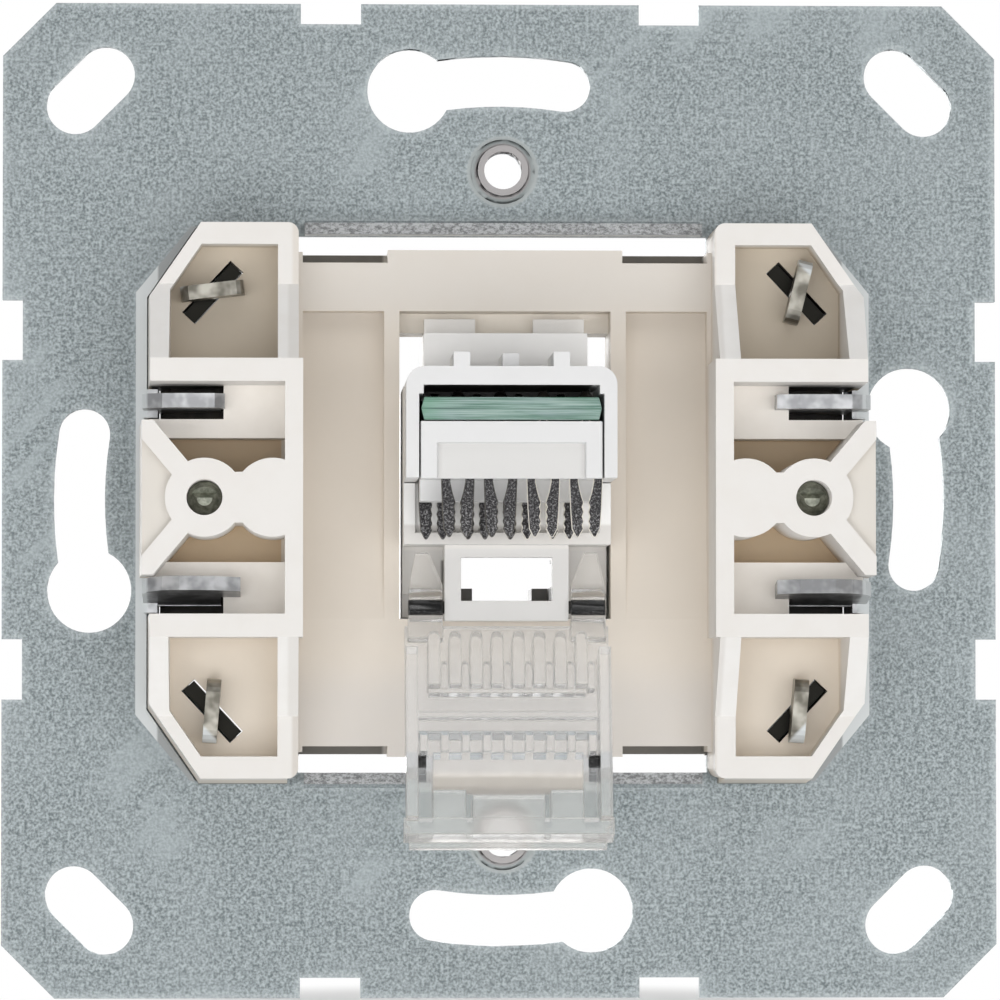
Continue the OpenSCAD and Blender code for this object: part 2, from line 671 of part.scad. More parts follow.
// Guide finger of the cover with a round end towards the hinge
module finger(x, w, z0, z1, h) {
    block(x - w / 2, x + w / 2, -0.1, h, z0 + w / 2, z1);
    translate([x, -0.1, z0 + w / 2]) rotate([-90, 0, 0]) cylinder(r = w / 2, h = h + 0.1);
}

// End of the cover: wedge, blocks and the bar that snaps over the shroud
module cover_end() {
    w = cover_half_w;
    z0 = comb_z1;
    z1 = cover_len - 3.35;
    z2 = cover_len - 1.2;
    along_x(-5.25, 5.25) polygon([[-0.1, z0], [1.6, z0], [0, z1], [-0.1, z1]]);
    for (s = [-1, 1]) scale([s, 1, 1]) block(2.95, 5.25, -0.1, 1.5, z1, z2 + 0.1);
    block(-2.5, 2.5, -0.1, 2.1, z1 + 0.5, z2 + 0.1);
    block(-w - 0.15, w + 0.15, -0.4, 2.3, z2, cover_len);
    block(-w + 0.25, w - 0.25, -cover_t, -0.3, z2, cover_len + 0.4);
}

module wire_cover() {
    w = cover_half_w;
    color([0.9, 0.93, 0.95, 0.5]) seat() translate([0, hinge_z, hinge_h]) rotate([cover_open, 0, 0]) {
        for (s = [-1, 1]) scale([s, 1, 1]) {
            cover_lug();
            block(w - 0.85, w, -cover_t, cover_wall_h, 3.7, cover_len - 1);
        }
        difference() {
            block(-w, w, -cover_t, 0, 1.35, cover_len - 1);
            // Blind slots beside the wedge, open to the rear of the closed cover
            for (s = [-1, 1]) block(s * 6 - 0.21, s * 6 + 0.21, -cover_t - 1, -0.35, comb_z1, comb_z1 + 1);
        }
        for (i = FORK) {
            finger(fork_x(i), 0.85, finger_z0, finger_z1, 2.6);
            finger(fork_x(i) + idc_pitch / 2, 0.5, finger_z0 + 1.9, finger_z1, 1.4);
        }
        block(-5.5, 5.5, -0.1, 1.2, finger_z1 - 0.2, finger_z1 + 0.3);
        block(-w + 0.6, w - 0.6, -0.1, 0.8, ridge_z, ridge_z + 0.45);
        for (i = [-4 : 4])
            block(i * idc_pitch - 0.28, i * idc_pitch + 0.28, -0.1, 2.0, comb_z0, comb_z1);
        block(-w + 0.6, w - 0.6, -0.1, 2.0, comb_z0 - 0.05, comb_z0 + 0.15);
        cover_end();
    }
}

support_plate();
carrier();
carrier_screws();
jack_housing();
rear_shroud();
circuit_board();
idc_block();
contact_insert();
hinge_pins();
wire_cover();
for (i = FORK) idc_contact(i);
for (i = FORK) port_contact(i);
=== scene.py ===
import json
import math
from types import SimpleNamespace as Places

import bmesh
import bpy
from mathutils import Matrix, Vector


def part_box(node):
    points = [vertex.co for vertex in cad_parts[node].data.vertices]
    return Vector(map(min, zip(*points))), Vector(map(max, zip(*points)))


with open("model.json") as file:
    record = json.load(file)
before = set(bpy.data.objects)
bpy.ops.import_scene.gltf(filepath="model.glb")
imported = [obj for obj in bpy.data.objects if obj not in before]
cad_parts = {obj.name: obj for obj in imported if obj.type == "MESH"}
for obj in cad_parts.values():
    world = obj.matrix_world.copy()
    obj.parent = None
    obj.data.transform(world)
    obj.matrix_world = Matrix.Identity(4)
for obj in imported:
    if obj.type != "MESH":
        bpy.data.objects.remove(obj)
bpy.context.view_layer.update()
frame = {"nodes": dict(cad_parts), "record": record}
nodes = frame["nodes"]
record = frame["record"]
MM = 0.001
WHITE = (1, 1, 1, 1)


# Node helpers: a material or group is built on a small graph with named wires

class Graph:
    def __init__(self, tree):
        self.tree = tree

    def add(self, kind, **values):
        made = self.tree.nodes.new(kind)
        for name, value in values.items():
            setattr(made, name, value)
        return made

    def wire(self, source, target):
        self.tree.links.new(source, target)

    def feed(self, socket, value):
        if isinstance(value, bpy.types.NodeSocket):
            self.wire(value, socket)
        else:
            socket.default_value = value

    def maths(self, kind, a, b=0.0):
        made = self.add("ShaderNodeMath", operation=kind)
        self.feed(made.inputs[0], a)
        self.feed(made.inputs[1], b)
        return made.outputs[0]

    def span(self, value, low, high, to_low=0.0, to_high=1.0, smooth=True):
        """Runs from to_low at low to to_high at high, and stays level beyond them."""
        made = self.add("ShaderNodeMapRange", interpolation_type="SMOOTHSTEP" if smooth else "LINEAR")
        for name, entry in (("Value", value), ("From Min", low), ("From Max", high),
                            ("To Min", to_low), ("To Max", to_high)):
            self.feed(made.inputs[name], entry)
        return made.outputs["Result"]

    def switch(self, ray, usual, then):
        """usual, or then where the ray is of that kind."""
        return self.span(ray, 0.0, 1.0, usual, then, smooth=False)

    def band(self, value, low, high, soft=0.2):
        """1 between low and high, fading out over soft beyond them."""
        return self.both(self.span(value, low - soft, low), self.span(value, high, high + soft, 1.0, 0.0))

    def both(self, first, *others):
        for other in others:
            first = self.maths("MULTIPLY", first, other)
        return first

    def either(self, first, *others):
        for other in others:
            first = self.maths("MAXIMUM", first, other)
        return first

    def without(self, mask, whole=1.0):
        return self.maths("SUBTRACT", whole, mask)

    def size(self, value):
        return self.maths("ABSOLUTE", value)

    def radius(self, first, second):
        squares = [self.maths("POWER", side, 2.0) for side in (first, second)]
        return self.maths("SQRT", self.maths("ADD", *squares))

    def mix(self, factor, a, b, kind="MIX"):
        """Colours a and b by the factor; the node's sockets share names, so they go by number."""
        made = self.add("ShaderNodeMix", data_type="RGBA", blend_type=kind)
        for number, value in ((0, factor), (6, a), (7, b)):
            self.feed(made.inputs[number], value)
        return made.outputs[2]

    def shade(self, factor, low, high):
        return self.mix(factor, hex_colour(low), hex_colour(high))

    def tints(self, tone, *layers):
        """tone under layers of colour, each laid on where its mask is 1."""
        for mask, code in layers:
            tone = self.mix(mask, tone, hex_colour(code))
        return tone

    def noise(self, vector, scale, detail, roughness):
        made = self.add("ShaderNodeTexNoise")
        self.wire(vector, made.inputs["Vector"])
        for name, value in (("Scale", scale), ("Detail", detail), ("Roughness", roughness)):
            self.feed(made.inputs[name], value)
        return made.outputs["Fac"]

    def turned(self, vector, angle=(0, 0, 0), scale=(1, 1, 1)):
        made = self.add("ShaderNodeMapping")
        self.wire(vector, made.inputs["Vector"])
        made.inputs["Rotation"].default_value = [math.radians(a) for a in angle]
        made.inputs["Scale"].default_value = scale
        return made.outputs["Vector"]

    def axes(self, vector):
        made = self.add("ShaderNodeSeparateXYZ")
        self.wire(vector, made.inputs[0])
        return made.outputs

    def place(self):
        return self.add("ShaderNodeTexCoord").outputs["Object"]

    def spot(self):
        """Place on the part in millimetres: across, back from the photo's viewer, and up."""
        return self.axes(self.turned(self.place(), scale=(1 / MM, 1 / MM, 1 / MM)))

    def normal(self):
        return self.add("ShaderNodeNewGeometry").outputs["Normal"]

    def edge(self, radius):
        """Rounded normal near an edge, and how far it agrees with the face: 1 away from edges."""
        made = self.add("ShaderNodeBevel", samples=4)
        made.inputs["Radius"].default_value = radius * MM
        agree = self.add("ShaderNodeVectorMath", operation="DOT_PRODUCT")
        self.wire(made.outputs["Normal"], agree.inputs[0])
        self.wire(self.normal(), agree.inputs[1])
        return made.outputs["Normal"], agree.outputs["Value"]

    def group(self, tree, **values):
        made = self.add("ShaderNodeGroup", node_tree=tree)
        for name, value in values.items():
            self.feed(made.inputs[name], value)
        return made.outputs

    def deeper(self, proud, deep):
        return self.group(DEPTH, Proud=proud, Deep=deep)["Depth"]

    def bump(self, height, strength, distance):
        made = self.add("ShaderNodeBump")
        self.wire(height, made.inputs["Height"])
        made.inputs["Strength"].default_value = strength
        made.inputs["Distance"].default_value = distance * MM
        return made.outputs["Normal"]


def new_group(name, inputs, outputs):
    tree = bpy.data.node_groups.new(name, "ShaderNodeTree")
    for kind, titles in (("INPUT", inputs), ("OUTPUT", outputs)):
        for title in titles:
            tree.interface.new_socket(name=title, in_out=kind, socket_type="NodeSocketFloat")
    graph = Graph(tree)
    return graph, graph.add("NodeGroupInput").outputs, graph.add("NodeGroupOutput").inputs


def hex_colour(code):
    """Linear colour of an sRGB hex code."""
    parts = [int(code[k:k + 2], 16) / 255 for k in (0, 2, 4)]
    return [c / 12.92 if c < 0.04045 else ((c + 0.055) / 1.055) ** 2.4 for c in parts] + [1.0]


def new_material(name, **sockets):
    made = bpy.data.materials.new(name)
    made.use_nodes = True
    shader = made.node_tree.nodes["Principled BSDF"]
    for title, value in sockets.items():
        shader.inputs[title.replace("_", " ")].default_value = value
    return made, Graph(made.node_tree), shader.inputs


# Shared effects

def moulded_grain():
    """Fine skin of a moulded part: slight mottling, its height and the odd dark speck."""
    g, given, out = new_group("moulded_grain", ["Grain"], ["Mottle", "Height", "Speck"])
    place = g.place()
    g.wire(g.noise(place, scale=420.0, detail=3.0, roughness=0.6), out["Mottle"])
    g.wire(g.noise(place, scale=given["Grain"], detail=2.0, roughness=0.55), out["Height"])
    cells = g.add("ShaderNodeTexVoronoi", feature="F1")
    g.wire(place, cells.inputs["Vector"])
    cells.inputs["Scale"].default_value = 190.0
    small = g.span(cells.outputs["Distance"], 0.012, 0.03, 1.0, 0.0)
    rare = g.maths("GREATER_THAN", g.axes(cells.outputs["Color"])[0], 0.9)
    g.wire(g.both(small, rare), out["Speck"])
    return g.tree


def depth_shade():
    """How far a spot lies down in the moulding: 0 at the rims towards the viewer, 1 at the floors."""
    g, given, out = new_group("depth_shade", ["Proud", "Deep"], ["Depth"])
    back = g.spot()[1]
    g.wire(g.span(back, given["Proud"], given["Deep"]), out["Depth"])
    return g.tree


GRAIN = moulded_grain()
DEPTH = depth_shade()


# Places that the finishes follow, in millimetres. A pair fades in from its first value to its second,
# or holds between the two where it is used as a band. In a name, across and up are along X and Z, aside
# and height are the same on both sides of the middle, rise is up from the hinge, radius and reach are
# distances from an edge, an axis or the middle, and a name with none of these is a place along Y.

joint = record["behaviour"]["joints"][0]
HINGE = [c / MM for c in joint["pos_m"]]
screws = next(mount for mount in record["mounts"] if mount["name"] == "cover_screws")
SCREW_MIDDLE = [c / MM for c in screws["pos_m"]]
SCREW_REACH = screws["dims"]["spacing_y_mm"] / 2

CARRIER = Places(
    rim_to_floor=(-8.3, -4.8),
    box_aside=(15.0, 15.3), outside_reach=(17.3, 17.7),
    rail_aside=(15.0, 14.7), rail_height=(10.5, 14.8), rail_light_up=(-5.0, 5.0),
    pocket=(-7.0, -5.6), upper_pocket_up=(9.2, 9.5), lower_pocket_up=(-9.8, -10.1),
    ledge=(-8.3, -7.7), boss=(-13.4, -13.2),
    floor=(-4.9, -4.3), floor_height=(9.0, 8.6),
    hook_slot_height=(5.3, 8.6), hook_slot_aside=(19.0, 24.7), hook_slot=(-7.2, -6.6),
    tab_slot_height=(9.8, 10.0), tab_slot_aside=(16.0, 24.6), tab_slot=(-4.95, -4.80),
    latch=(-2.2, 1.2), latch_aside=(7.9, 7.6), latch_up=(11.0, 11.5),
    end=(-1.2, 1.2), end_height=(16.0, 16.3), end_aside=(8.2, 8.5))
JACK = Places(
    rim_to_floor=(-16.5, -4.0), shroud_rim=(-17.4, -16.9),
    seat=(-9.8, -9.5), seat_up=(-3.6, 1.6), seat_light_up=(-2.2, -1.9),
    catch=(-13.0, -12.5), catch_up=(8.6, 9.0),
    gap=(-17.8, -17.4), gap_aside=(5.9, 5.6), gap_up=(6.6, 7.4),
    port=(-5.6, 8.0), port_aside=(4.4, 4.2), port_up=(-7.6, -4.5))
SHEET = Places(
    edge_radius=0.8, raised=(-0.6, -0.9),
    collar=(-1.3, -1.8), collar_height=(18.4, 18.7), tab_height=(9.2, 9.5),
    lip_aside=(24.9, 25.1), lip_corner_reach=(37.0, 37.4),
    rear=(0.6, 0.3), foot_radius=(2.7, 2.4), rim_radius=(1.9, 2.1),
    slot=(-4.6, -1.1), slot_aside=(15.8, 24.3))
BOARD = Places(green_across=(-3.0, -6.5), thickness_up=(5.2, 6.1), core_up=(5.65, 5.72))
CONTACT = Places(tip_up=(-0.4, -2.2), bright_across=(0.6, 0.9), root_up=(6.2, 6.4))
COVER = Places(
    edge_radius=0.2, lid_up=(-19.0, -9.0), end_up=(-20.0, -21.2),
    side_aside=(5.7, 6.3), slot_up=(-19.0, -18.2), under_slot_up=(-20.0, -19.1),
    comb_up=(-23.1, -20.8), gaps_aside=((2.5, 2.95), (5.25, 6.3)),
    eye_radius=(0.56, 0.54), eye_rise=(-0.32, 0.32),
    pin=(-7.8, -8.1), pin_aside=(4.0, 7.0), pin_rise=(-0.54, 0.48))

# How far a face has to turn, as a share of its normal
TO_VIEWER = (-0.8, -0.95)
FROM_ROOM = (0.4, 0.2)
OUTWARDS = (0.3, 0.5)
SLOPED = (-0.78, -0.62)


# Materials

def cream_plastic():
    made, g, shader = new_material("cream_plastic", Roughness=0.42, IOR=1.5, Specular_IOR_Level=0.35)
    at = CARRIER
    skin = g.group(GRAIN, Grain=5200.0)
    spot = g.spot()
    aside, back, up, height = g.size(spot[0]), spot[1], spot[2], g.size(spot[2])
    lean = g.axes(g.normal())
    flat = g.span(lean[1], *TO_VIEWER)
    outer = [g.both(g.span(g.maths("MULTIPLY", lean[k], g.maths("SIGN", spot[k])), *OUTWARDS),
                    g.span(g.size(spot[k]), *at.outside_reach)) for k in (0, 2)]
    boxes = g.both(g.span(aside, *at.box_aside), g.span(lean[1], *FROM_ROOM), g.without(g.either(*outer)))
    rails = g.both(flat, g.span(aside, *at.rail_aside), g.span(height, *at.rail_height))
    pockets = g.both(boxes, g.deeper(*at.pocket))
    slopes = g.both(boxes, g.band(lean[1], *SLOPED, soft=0.05))
    ledges = g.both(boxes, flat, g.band(back, *at.ledge))
    bosses = g.both(boxes, flat, g.band(back, *at.boss, soft=0.05))
    floors = g.both(boxes, g.deeper(*at.floor), g.span(height, *at.floor_height))
    hook_slots = g.both(boxes, g.band(height, *at.hook_slot_height), g.band(aside, *at.hook_slot_aside),
                        g.span(back, *at.hook_slot))
    tab_slots = g.both(boxes, g.span(height, *at.tab_slot_height), g.band(aside, *at.tab_slot_aside),
                       g.span(back, *at.tab_slot))
    latch = g.both(g.band(back, *at.latch), g.span(aside, *at.latch_aside), g.span(up, *at.latch_up))
    ends = g.both(g.band(back, *at.end), g.span(height, *at.end_height), g.span(aside, *at.end_aside))
    # Painted shade: the cream is painted darker and warmer from the rims down to the floors, standing in for
    # shade and warm bounce light in the hollows.
    tone = g.shade(g.deeper(*at.rim_to_floor), "E6E3DF", "DFD6CA")
    # Painted shade: the flat rails are painted a shade darker below the middle than above it.
    tone = g.mix(rails, tone, g.shade(g.span(up, *at.rail_light_up), "D3CDC6", "DBD5CD"))
    tone = g.tints(
        # Painted shade and painted light: the upper pockets are painted darker, and the lower pockets, the
        # slopes and the ledges lighter, for how light falls into the boxes.
        tone, (g.both(pockets, g.span(up, *at.upper_pocket_up)), "CABFAE"),
        (g.both(pockets, g.span(up, *at.lower_pocket_up)), "EAE0D2"), (slopes, "F3F1EE"), (ledges, "FFFAF3"),
        # Painted shade: the boss tops are painted a shade greyer, the deep floors brown, and the insides of
        # the hook and tab slots near black.
        (bosses, "DAD5CD"), (floors, "DCC6A6"), (hook_slots, "3A3835"), (tab_slots, "1A1814"),
        # Painted light on the recess behind the latch; painted shade in the end notches.
        (latch, "FAF4EA"), (g.both(ends, 0.75), "5B5850"),
        (g.span(skin["Mottle"], 0.35, 0.7, to_high=0.1), "D8CFC3"), (g.both(skin["Speck"], 0.75), "4A4136"))
    g.wire(tone, shader["Base Color"])
    g.wire(g.span(skin["Mottle"], 0.3, 0.7, 0.4, 0.52), shader["Roughness"])
    g.wire(g.bump(skin["Height"], strength=0.08, distance=0.04), shader["Normal"])
    return made


def white_plastic():
    made, g, shader = new_material("white_plastic", Roughness=0.36, IOR=1.5, Specular_IOR_Level=0.35)
    at = JACK
    skin = g.group(GRAIN, Grain=6000.0)
    across, back, up = g.spot()
    aside = g.size(across)
    flat = g.span(g.axes(g.normal())[1], *TO_VIEWER)
    shroud_rim = g.both(flat, g.band(back, *at.shroud_rim))
    seat = g.both(flat, g.band(up, *at.seat_up), g.span(back, *at.seat))
    catch = g.both(g.span(up, *at.catch_up), g.span(back, *at.catch))
    gap = g.both(g.band(up, *at.gap_up, soft=0.1), g.span(aside, *at.gap_aside), g.span(back, *at.gap))
    port = g.both(g.span(aside, *at.port_aside), g.band(up, *at.port_up), g.band(back, *at.port))
    # Painted shade: the white is painted a shade darker and warmer from the rims down to the floors.
    tone = g.shade(g.deeper(*at.rim_to_floor), "E0E0E0", "DAD8D5")
    # Painted shade: the shroud's rim is painted a shade greyer than the rest.
    tone = g.tints(tone, (shroud_rim, "D8D7D5"))
    # Painted light: the seat behind the blades is painted near white, a shade darker along its lowest strip.
    tone = g.mix(seat, tone, g.shade(g.span(up, *at.seat_light_up), "E2DFDB", "FFFEFC"))
    # Painted light on the catch; painted shade, near black in the gap and dark in the port's corners.
    tone = g.tints(
        tone, (catch, "F3F2F0"), (gap, "17120F"), (g.both(port, 0.85), "4A4943"),
        (g.span(skin["Mottle"], 0.35, 0.7, to_high=0.1), "D8D7D4"), (g.both(skin["Speck"], 0.5), "5A5650"))
    g.wire(tone, shader["Base Color"])
    g.wire(g.span(skin["Mottle"], 0.3, 0.7, 0.34, 0.44), shader["Roughness"])
    g.wire(g.bump(skin["Height"], strength=0.06, distance=0.03), shader["Normal"])
    return made


def zinc_steel():
    """Speckled zinc on the sheet, torn grain on the sheared collar, smooth bends on hooks and tabs."""
    made, g, shader = new_material("zinc_steel", Metallic=0.85, Roughness=0.5)
    at = SHEET
    place = g.place()
    fine = g.noise(place, scale=5200.0, detail=1.0, roughness=0.5)
    coarse = g.noise(place, scale=2300.0, detail=2.0, roughness=0.6)
    cloud = g.noise(place, scale=150.0, detail=3.0, roughness=0.55)
    slanted = g.turned(g.turned(place, angle=(0, 45, 0)), scale=(110, 300, 520))
    smear = g.noise(slanted, scale=1.0, detail=3.0, roughness=0.55)
    patch = g.noise(place, scale=75.0, detail=1.0, roughness=0.5)
    torn = g.noise(g.turned(place, scale=(3600, 5200, 6400)), scale=1.0, detail=3.0, roughness=0.7)
    worn = g.noise(place, scale=800.0, detail=2.0, roughness=0.5)
    spangle = g.maths("ADD", g.both(fine, 0.6), g.both(coarse, 0.4))

    across, back, up = g.spot()
    aside, height = g.size(across), g.size(up)
    # Painted highlight: the sheet is painted lighter within a short reach of its rounded edges.
    edge_highlight = g.span(g.edge(at.edge_radius)[1], 0.9995, 0.96, to_high=0.45)
    streak = g.both(g.span(smear, 0.46, 0.6), g.span(patch, 0.55, 0.66, to_high=0.6))
    collar = g.both(g.span(back, *at.collar), g.span(height, *at.collar_height))
    hooks = g.without(collar, g.span(back, *at.raised))
    tabs = g.both(hooks, g.span(height, *at.tab_height))
    corner = g.span(g.maths("ADD", aside, height), *at.lip_corner_reach)
    lip = g.both(hooks, g.either(g.span(aside, *at.lip_aside), corner))
    from_middle = g.size(g.maths("SUBTRACT", up, SCREW_MIDDLE[2]))
    from_screw = g.maths("SUBTRACT", from_middle, SCREW_REACH)
    ring = g.radius(g.maths("SUBTRACT", across, SCREW_MIDDLE[0]), from_screw)
    foot = g.both(g.span(ring, *at.foot_radius), g.span(back, *at.rear))
    slots = g.both(g.band(back, *at.slot), g.span(height, *at.tab_height), g.band(aside, *at.slot_aside))

    tone = g.shade(g.span(spangle, 0.3, 0.7), "666E70", "A2AAAC")
    tone = g.tints(tone, (g.span(cloud, 0.35, 0.75, to_high=0.3), "9FA6A8"), (streak, "9AA2A4"),
                   (edge_highlight, "BAC0C2"))
    tone = g.mix(collar, tone, g.shade(g.span(torn, 0.36, 0.62), "6C6D6E", "A3A5A6"))
    tone = g.mix(hooks, tone, g.shade(g.span(worn, 0.35, 0.7), "8E8F91", "BFC0C2"))
    tone = g.mix(tabs, tone, g.shade(g.span(worn, 0.35, 0.7), "625F57", "A7A49B"))
    tone = g.tints(tone, (lip, "C4C8C9"))
    tone = g.mix(foot, tone, g.shade(g.span(ring, *at.rim_radius), "9C9999", "A4AAAA"))
    # Painted shade: steel down in the tab slots is painted near black.
    tone = g.tints(tone, (slots, "1E1D19"))
    g.wire(tone, shader["Base Color"])
    hook_gloss = (0.34, 0.34, 0.34, 1)
    g.wire(g.mix(hooks, g.span(spangle, 0.36, 0.64, 0.58, 0.44), hook_gloss), shader["Roughness"])
    g.wire(g.span(g.either(foot, lip), 0.0, 1.0, 0.85, 0.3), shader["Metallic"])
    g.wire(g.bump(g.mix(hooks, spangle, worn), strength=0.25, distance=0.04), shader["Normal"])
    return made


def screw_steel():
    made, g, shader = new_material("screw_steel", Metallic=0.9, Roughness=0.45)
    cloud = g.noise(g.place(), scale=1800.0, detail=3.0, roughness=0.6)
    g.wire(g.shade(g.span(cloud, 0.3, 0.7), "6E7066", "A5A89B"), shader["Base Color"])
    g.wire(g.bump(cloud, strength=0.3, distance=0.08), shader["Normal"])
    return made


def dark_steel():
    made, g, shader = new_material("dark_steel", Metallic=0.3, Roughness=0.6)
    cloud = g.noise(g.place(), scale=4200.0, detail=3.0, roughness=0.65)
    g.wire(g.shade(g.span(cloud, 0.4, 0.72), "0B0B0B", "3C3A38"), shader["Base Color"])
    g.wire(g.bump(cloud, strength=0.3, distance=0.06), shader["Normal"])
    return made


def board_laminate():
    """Cut edge of the board: long glass fibres in green resin."""
    made, g, shader = new_material("board_laminate", Roughness=0.5)
    at = BOARD
    place = g.place()
    fibre = g.noise(g.turned(place, scale=(160, 2600, 11000)), scale=1.0, detail=4.0, roughness=0.65)
    wide = g.noise(g.turned(place, scale=(180, 600, 900)), scale=1.0, detail=2.0, roughness=0.5)
    across, _, up = g.spot()
    faces = g.without(g.band(up, *at.thickness_up, soft=0.4))
    core = g.both(g.band(up, *at.core_up, soft=0.04), g.span(wide, 0.4, 0.55))
    tone = g.tints(
        g.shade(g.span(fibre, 0.36, 0.66), "507869", "9BB2AB"),
        (g.span(wide, 0.42, 0.68, to_high=0.6), "A4B3B8"),
        (g.span(across, *at.green_across, to_high=0.45), "63A07E"),
        (g.both(faces, g.span(fibre, 0.3, 0.55, 0.9, 0.35)), "2F5F49"), (g.both(core, 0.7), "3C5A50"))
    g.wire(tone, shader["Base Color"])
    g.wire(g.bump(fibre, strength=0.3, distance=0.05), shader["Normal"])
    return made


def tinned_contact():
    """Sheared blades: dark pitted faces towards the viewer, pale glints painted towards the tips, and sides
    with a painted highlight, near white on the blades to the right.
    """
    made, g, shader = new_material("tinned_contact", Metallic=0.9, Roughness=0.32)
    at = CONTACT
    pit = g.noise(g.place(), scale=7000.0, detail=3.0, roughness=0.7)
    face = g.span(g.axes(g.normal())[1], *TO_VIEWER)
    across, _, up = g.spot()
    # Painted glints: more pale specks towards the tips of the blades.
    tip_glint_from = g.span(up, *at.tip_up, 0.8, 0.72)
    cut = g.shade(g.span(pit, 0.45, tip_glint_from), "2B2A2B", "929192")
    # Painted highlight: the sides of the blades to the right are painted near white and not metallic.
    highlit_right = g.span(across, *at.bright_across)
    tone = g.mix(face, g.shade(highlit_right, "6E6C67", "F2EDE2"), cut)
    # Painted shade: the blades' roots, up in the block, are painted near black.
    g.wire(g.tints(tone, (g.span(up, *at.root_up), "1B1714")), shader["Base Color"])
    g.wire(g.without(g.both(g.without(face), highlit_right, 0.9), 0.9), shader["Metallic"])
    g.wire(g.bump(pit, strength=0.4, distance=0.06), shader["Normal"])
    return made


def gold_contact():
    made, g, shader = new_material("gold_contact", Metallic=1.0, Roughness=0.28)
    cloud = g.noise(g.place(), scale=2500.0, detail=2.0, roughness=0.5)
    g.wire(g.shade(cloud, "C9A24A", "E6C878"), shader["Base Color"])
    return made


def clear_plastic():
    """Clear moulding, hazy at its edges; light that only casts shadows passes most of it."""
    made, g, shader = new_material("clear_plastic", Roughness=0.14, IOR=1.5, Transmission_Weight=0.93)
    at = COVER
    across, back, up = g.spot()
    aside = g.size(g.maths("SUBTRACT", across, HINGE[0]))
    from_hinge = g.maths("SUBTRACT", up, HINGE[2])
    side = g.band(aside, *at.side_aside, soft=0.05)
    slots = g.both(side, g.band(up, *at.slot_up, soft=0.1))
    under_slots = g.both(side, g.band(up, *at.under_slot_up, soft=0.1))
    gaps = g.either(*[g.band(aside, *gap, soft=0.05) for gap in at.gaps_aside])
    comb_gaps = g.both(gaps, g.band(up, *at.comb_up, soft=0.1))
    turn = g.radius(g.maths("SUBTRACT", back, HINGE[1]), from_hinge)
    eyes = g.both(g.span(turn, *at.eye_radius), g.band(from_hinge, *at.eye_rise, soft=0.04))
    pins = g.both(g.span(back, *at.pin), g.band(aside, *at.pin_aside, soft=0.05),
                  g.band(from_hinge, *at.pin_rise, soft=0.08))
    pits = g.noise(g.place(), scale=7000.0, detail=2.0, roughness=0.6)
    black = g.shade(g.span(pits, 0.5, 0.75), "020202", "4A4A4C")
    clear = g.shade(g.band(up, *at.lid_up, soft=0.6), "FFFDFA", "F1F2F3")
    # Painted shade: the cover is painted greyer under the slots and, faintly, in the comb's gaps.
    clear = g.tints(clear, (comb_gaps, "EAEAE8"), (under_slots, "B4B5B6"))
    # Painted shade: the slots, the hinge eyes and bands over the pins are painted near black, for the dark
    # seen through them.
    g.wire(g.mix(g.either(slots, eyes, pins), clear, black), shader["Base Color"])
    round_normal, agree = g.edge(at.edge_radius)
    g.wire(round_normal, shader["Normal"])
    haze = g.span(agree, 0.995, 0.9)
    g.wire(g.span(haze, 0.0, 1.0, g.span(up, *at.end_up, 0.14, 0.2), 0.6), shader["Roughness"])
    shadow = g.add("ShaderNodeLightPath").outputs["Is Shadow Ray"]
    g.wire(g.switch(shadow, 1.0, 0.2), shader["Alpha"])
    return made


# Finishes by the record's slots; the hinge pins are darker than the other steel

FINISH = {
    "steel": zinc_steel(), "screw_steel": screw_steel(), "cream_plastic": cream_plastic(),
    "white_plastic": white_plastic(), "board": board_laminate(), "contact_metal": tinned_contact(),
    "gold_plate": gold_contact(), "clear_plastic": clear_plastic(), "pins": dark_steel(),
}
SLOTS = {part["node"]: part["material_slot"] for part in record["subparts"]}
SLOTS["hinge_pins"] = "pins"


# Moulded edges: a soft round in millimetres on each piece, after its loose triangles are joined

ROUNDS = {"support_plate": 0.2, "carrier": 0.16, "jack_housing": 0.1, "rear_shroud": 0.16,
          "idc_block": 0.1, "circuit_board": 0.05, "wire_cover": 0.08, "contact_insert": 0.06}
CONTACT_ROUND = 0.09
JOIN_WITHIN = 0.001
FLAT_WITHIN = math.radians(0.4)
ROUND_FROM = math.radians(25)


def soften(piece, width, thin=False):
    weld = piece.modifiers.new("join", "WELD")
    weld.merge_threshold = JOIN_WITHIN * MM
    flat = piece.modifiers.new("flat", "DECIMATE")
    flat.decimate_type = "DISSOLVE"
    flat.angle_limit = FLAT_WITHIN
    edge = piece.modifiers.new("round", "BEVEL")
    edge.width = width * MM
    edge.segments = 2
    edge.profile = 0.5
    edge.limit_method = "ANGLE"
    edge.angle_limit = ROUND_FROM
    edge.harden_normals = True
    edge.use_clamp_overlap = not thin


for name, piece in nodes.items():
    piece.data.materials.clear()
    piece.data.materials.append(FINISH[SLOTS[name]])
    if name in ROUNDS:
        soften(piece, ROUNDS[name])
    elif name.startswith("idc_contact"):
        soften(piece, CONTACT_ROUND, thin=True)


# Stage, light and camera, in metres

FLOOR_REACH = 1.2
FLOOR_GAP = 0.0004
SHADOW_REACH = (0.016, 0.036)
FILL_LIGHT = 0.24
CAMERA_PLACE = (-0.016, -0.45, -0.0154)
SENSOR_WIDTH = 36.0
FOCAL_LENGTH = 227.07


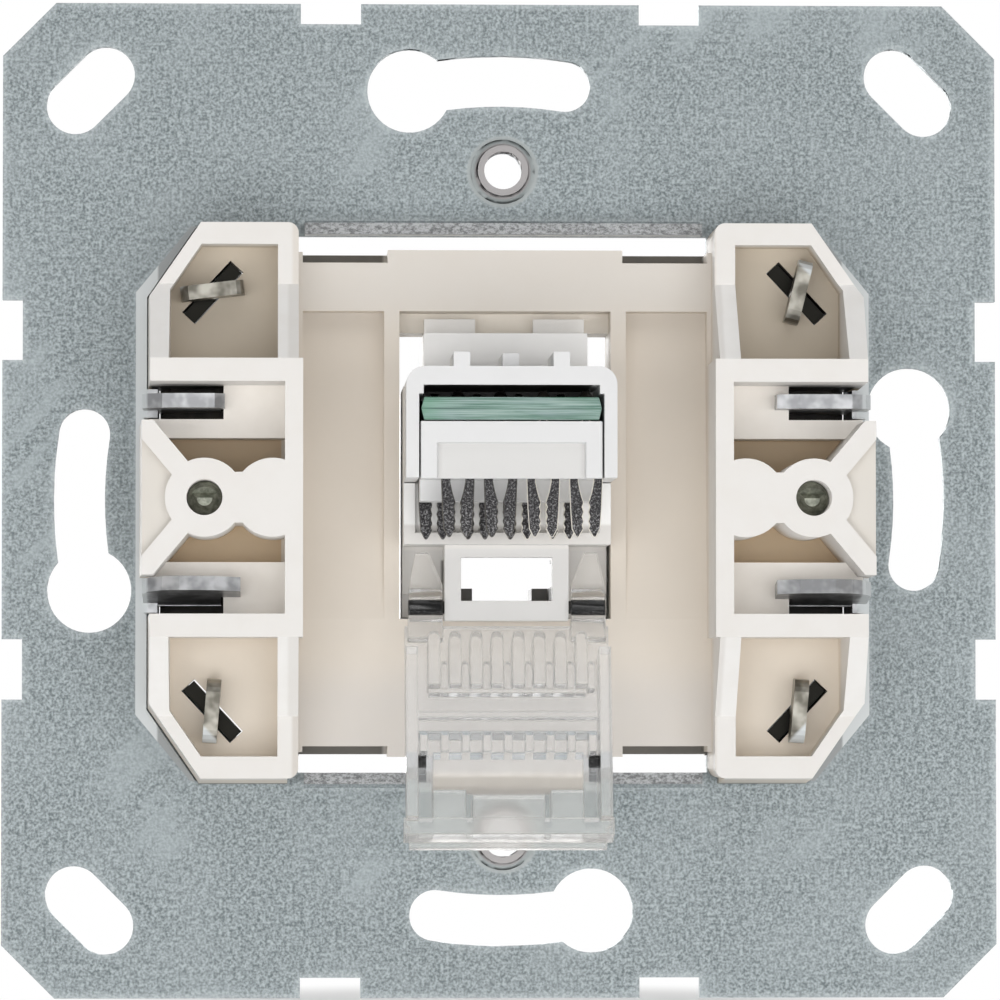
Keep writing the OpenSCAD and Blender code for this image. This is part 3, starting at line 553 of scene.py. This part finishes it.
def backdrop(level):
    """White floor under the plate that keeps the part's shadow close by; dimmer through clear plastic."""
    shape = bmesh.new()
    bmesh.ops.create_grid(shape, x_segments=2, y_segments=2, size=FLOOR_REACH)
    bmesh.ops.translate(shape, verts=shape.verts, vec=(0, 0, level))
    mesh = bpy.data.meshes.new("floor")
    shape.to_mesh(mesh)
    shape.free()
    floor = bpy.data.objects.new("floor", mesh)
    bpy.context.scene.collection.objects.link(floor)
    made, g, _ = new_material("pale_floor", Roughness=0.8, Base_Color=hex_colour("F2F2F2"))
    light = g.add("ShaderNodeEmission")
    light.inputs["Color"].default_value = WHITE
    path = g.add("ShaderNodeLightPath").outputs
    through, mirrored = path["Is Transmission Ray"], path["Is Glossy Ray"]
    g.wire(g.switch(through, 1.0, 0.5), light.inputs["Strength"])
    seen = g.either(path["Is Camera Ray"], mirrored, through)
    spot = g.axes(g.place())
    far = g.span(g.radius(spot[0], spot[1]), *SHADOW_REACH)
    blend = g.add("ShaderNodeMixShader")
    g.wire(g.either(g.both(seen, far), mirrored), blend.inputs[0])
    g.wire(made.node_tree.nodes["Principled BSDF"].outputs[0], blend.inputs[1])
    g.wire(light.outputs[0], blend.inputs[2])
    g.wire(blend.outputs[0], made.node_tree.nodes["Material Output"].inputs["Surface"])
    floor.data.materials.append(made)
    floor.visible_shadow = False


def sky():
    """White to the camera, a soft fill to the part, and a room that metal and clear plastic show."""
    world = bpy.data.worlds.new("studio")
    bpy.context.scene.world = world
    world.use_nodes = True
    g = Graph(world.node_tree)
    world.node_tree.nodes.clear()
    path = g.add("ShaderNodeLightPath").outputs
    towards = g.axes(g.add("ShaderNodeTexCoord").outputs["Generated"])[1]
    through = path["Is Transmission Ray"]
    room = g.span(towards, -0.75, 0.1, g.switch(through, 0.4, 0.85), g.switch(through, 1.0, 0.5))
    fill, seen, shown = (g.add("ShaderNodeBackground") for _ in range(3))
    fill.inputs["Color"].default_value = WHITE
    fill.inputs["Strength"].default_value = FILL_LIGHT
    g.wire(g.mix(1.0, WHITE, room, "MULTIPLY"), seen.inputs["Color"])
    shown.inputs["Color"].default_value = WHITE
    first, last = g.add("ShaderNodeMixShader"), g.add("ShaderNodeMixShader")
    g.wire(g.either(path["Is Glossy Ray"], through), first.inputs[0])
    g.wire(fill.outputs[0], first.inputs[1])
    g.wire(seen.outputs[0], first.inputs[2])
    g.wire(path["Is Camera Ray"], last.inputs[0])
    g.wire(first.outputs[0], last.inputs[1])
    g.wire(shown.outputs[0], last.inputs[2])
    g.wire(last.outputs[0], g.add("ShaderNodeOutputWorld").inputs["Surface"])


def aimed(name, data, place):
    """An object with that data at that place, turned to the middle of the plate."""
    holder = bpy.data.objects.new(name, data)
    bpy.context.scene.collection.objects.link(holder)
    holder.location = place
    holder.rotation_euler = (-Vector(place)).to_track_quat("-Z", "Y").to_euler()
    return holder


def softbox(name, place, size, power, through_clear=True):
    lamp = bpy.data.lights.new(name, "AREA")
    lamp.shape = "RECTANGLE"
    lamp.size, lamp.size_y = size
    lamp.energy = power
    holder = aimed(name, lamp, place)
    holder.visible_camera = False
    holder.visible_transmission = through_clear


def photo_camera():
    lens = bpy.data.cameras.new("camera")
    lens.sensor_width = SENSOR_WIDTH
    lens.lens = FOCAL_LENGTH
    bpy.context.scene.camera = aimed("camera", lens, CAMERA_PLACE)


backdrop(level=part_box("support_plate")[0].z - FLOOR_GAP)
sky()
softbox("key", place=(0.0, -0.57, -0.17), size=(1.0, 0.45), power=4.6)
softbox("top", place=(0.05, -0.45, 0.4), size=(0.7, 0.4), power=0.9)
softbox("room", place=(-0.12, 0.55, 0.2), size=(0.8, 0.5), power=3.2, through_clear=False)
photo_camera()
bpy.context.scene.view_settings.view_transform = "Standard"
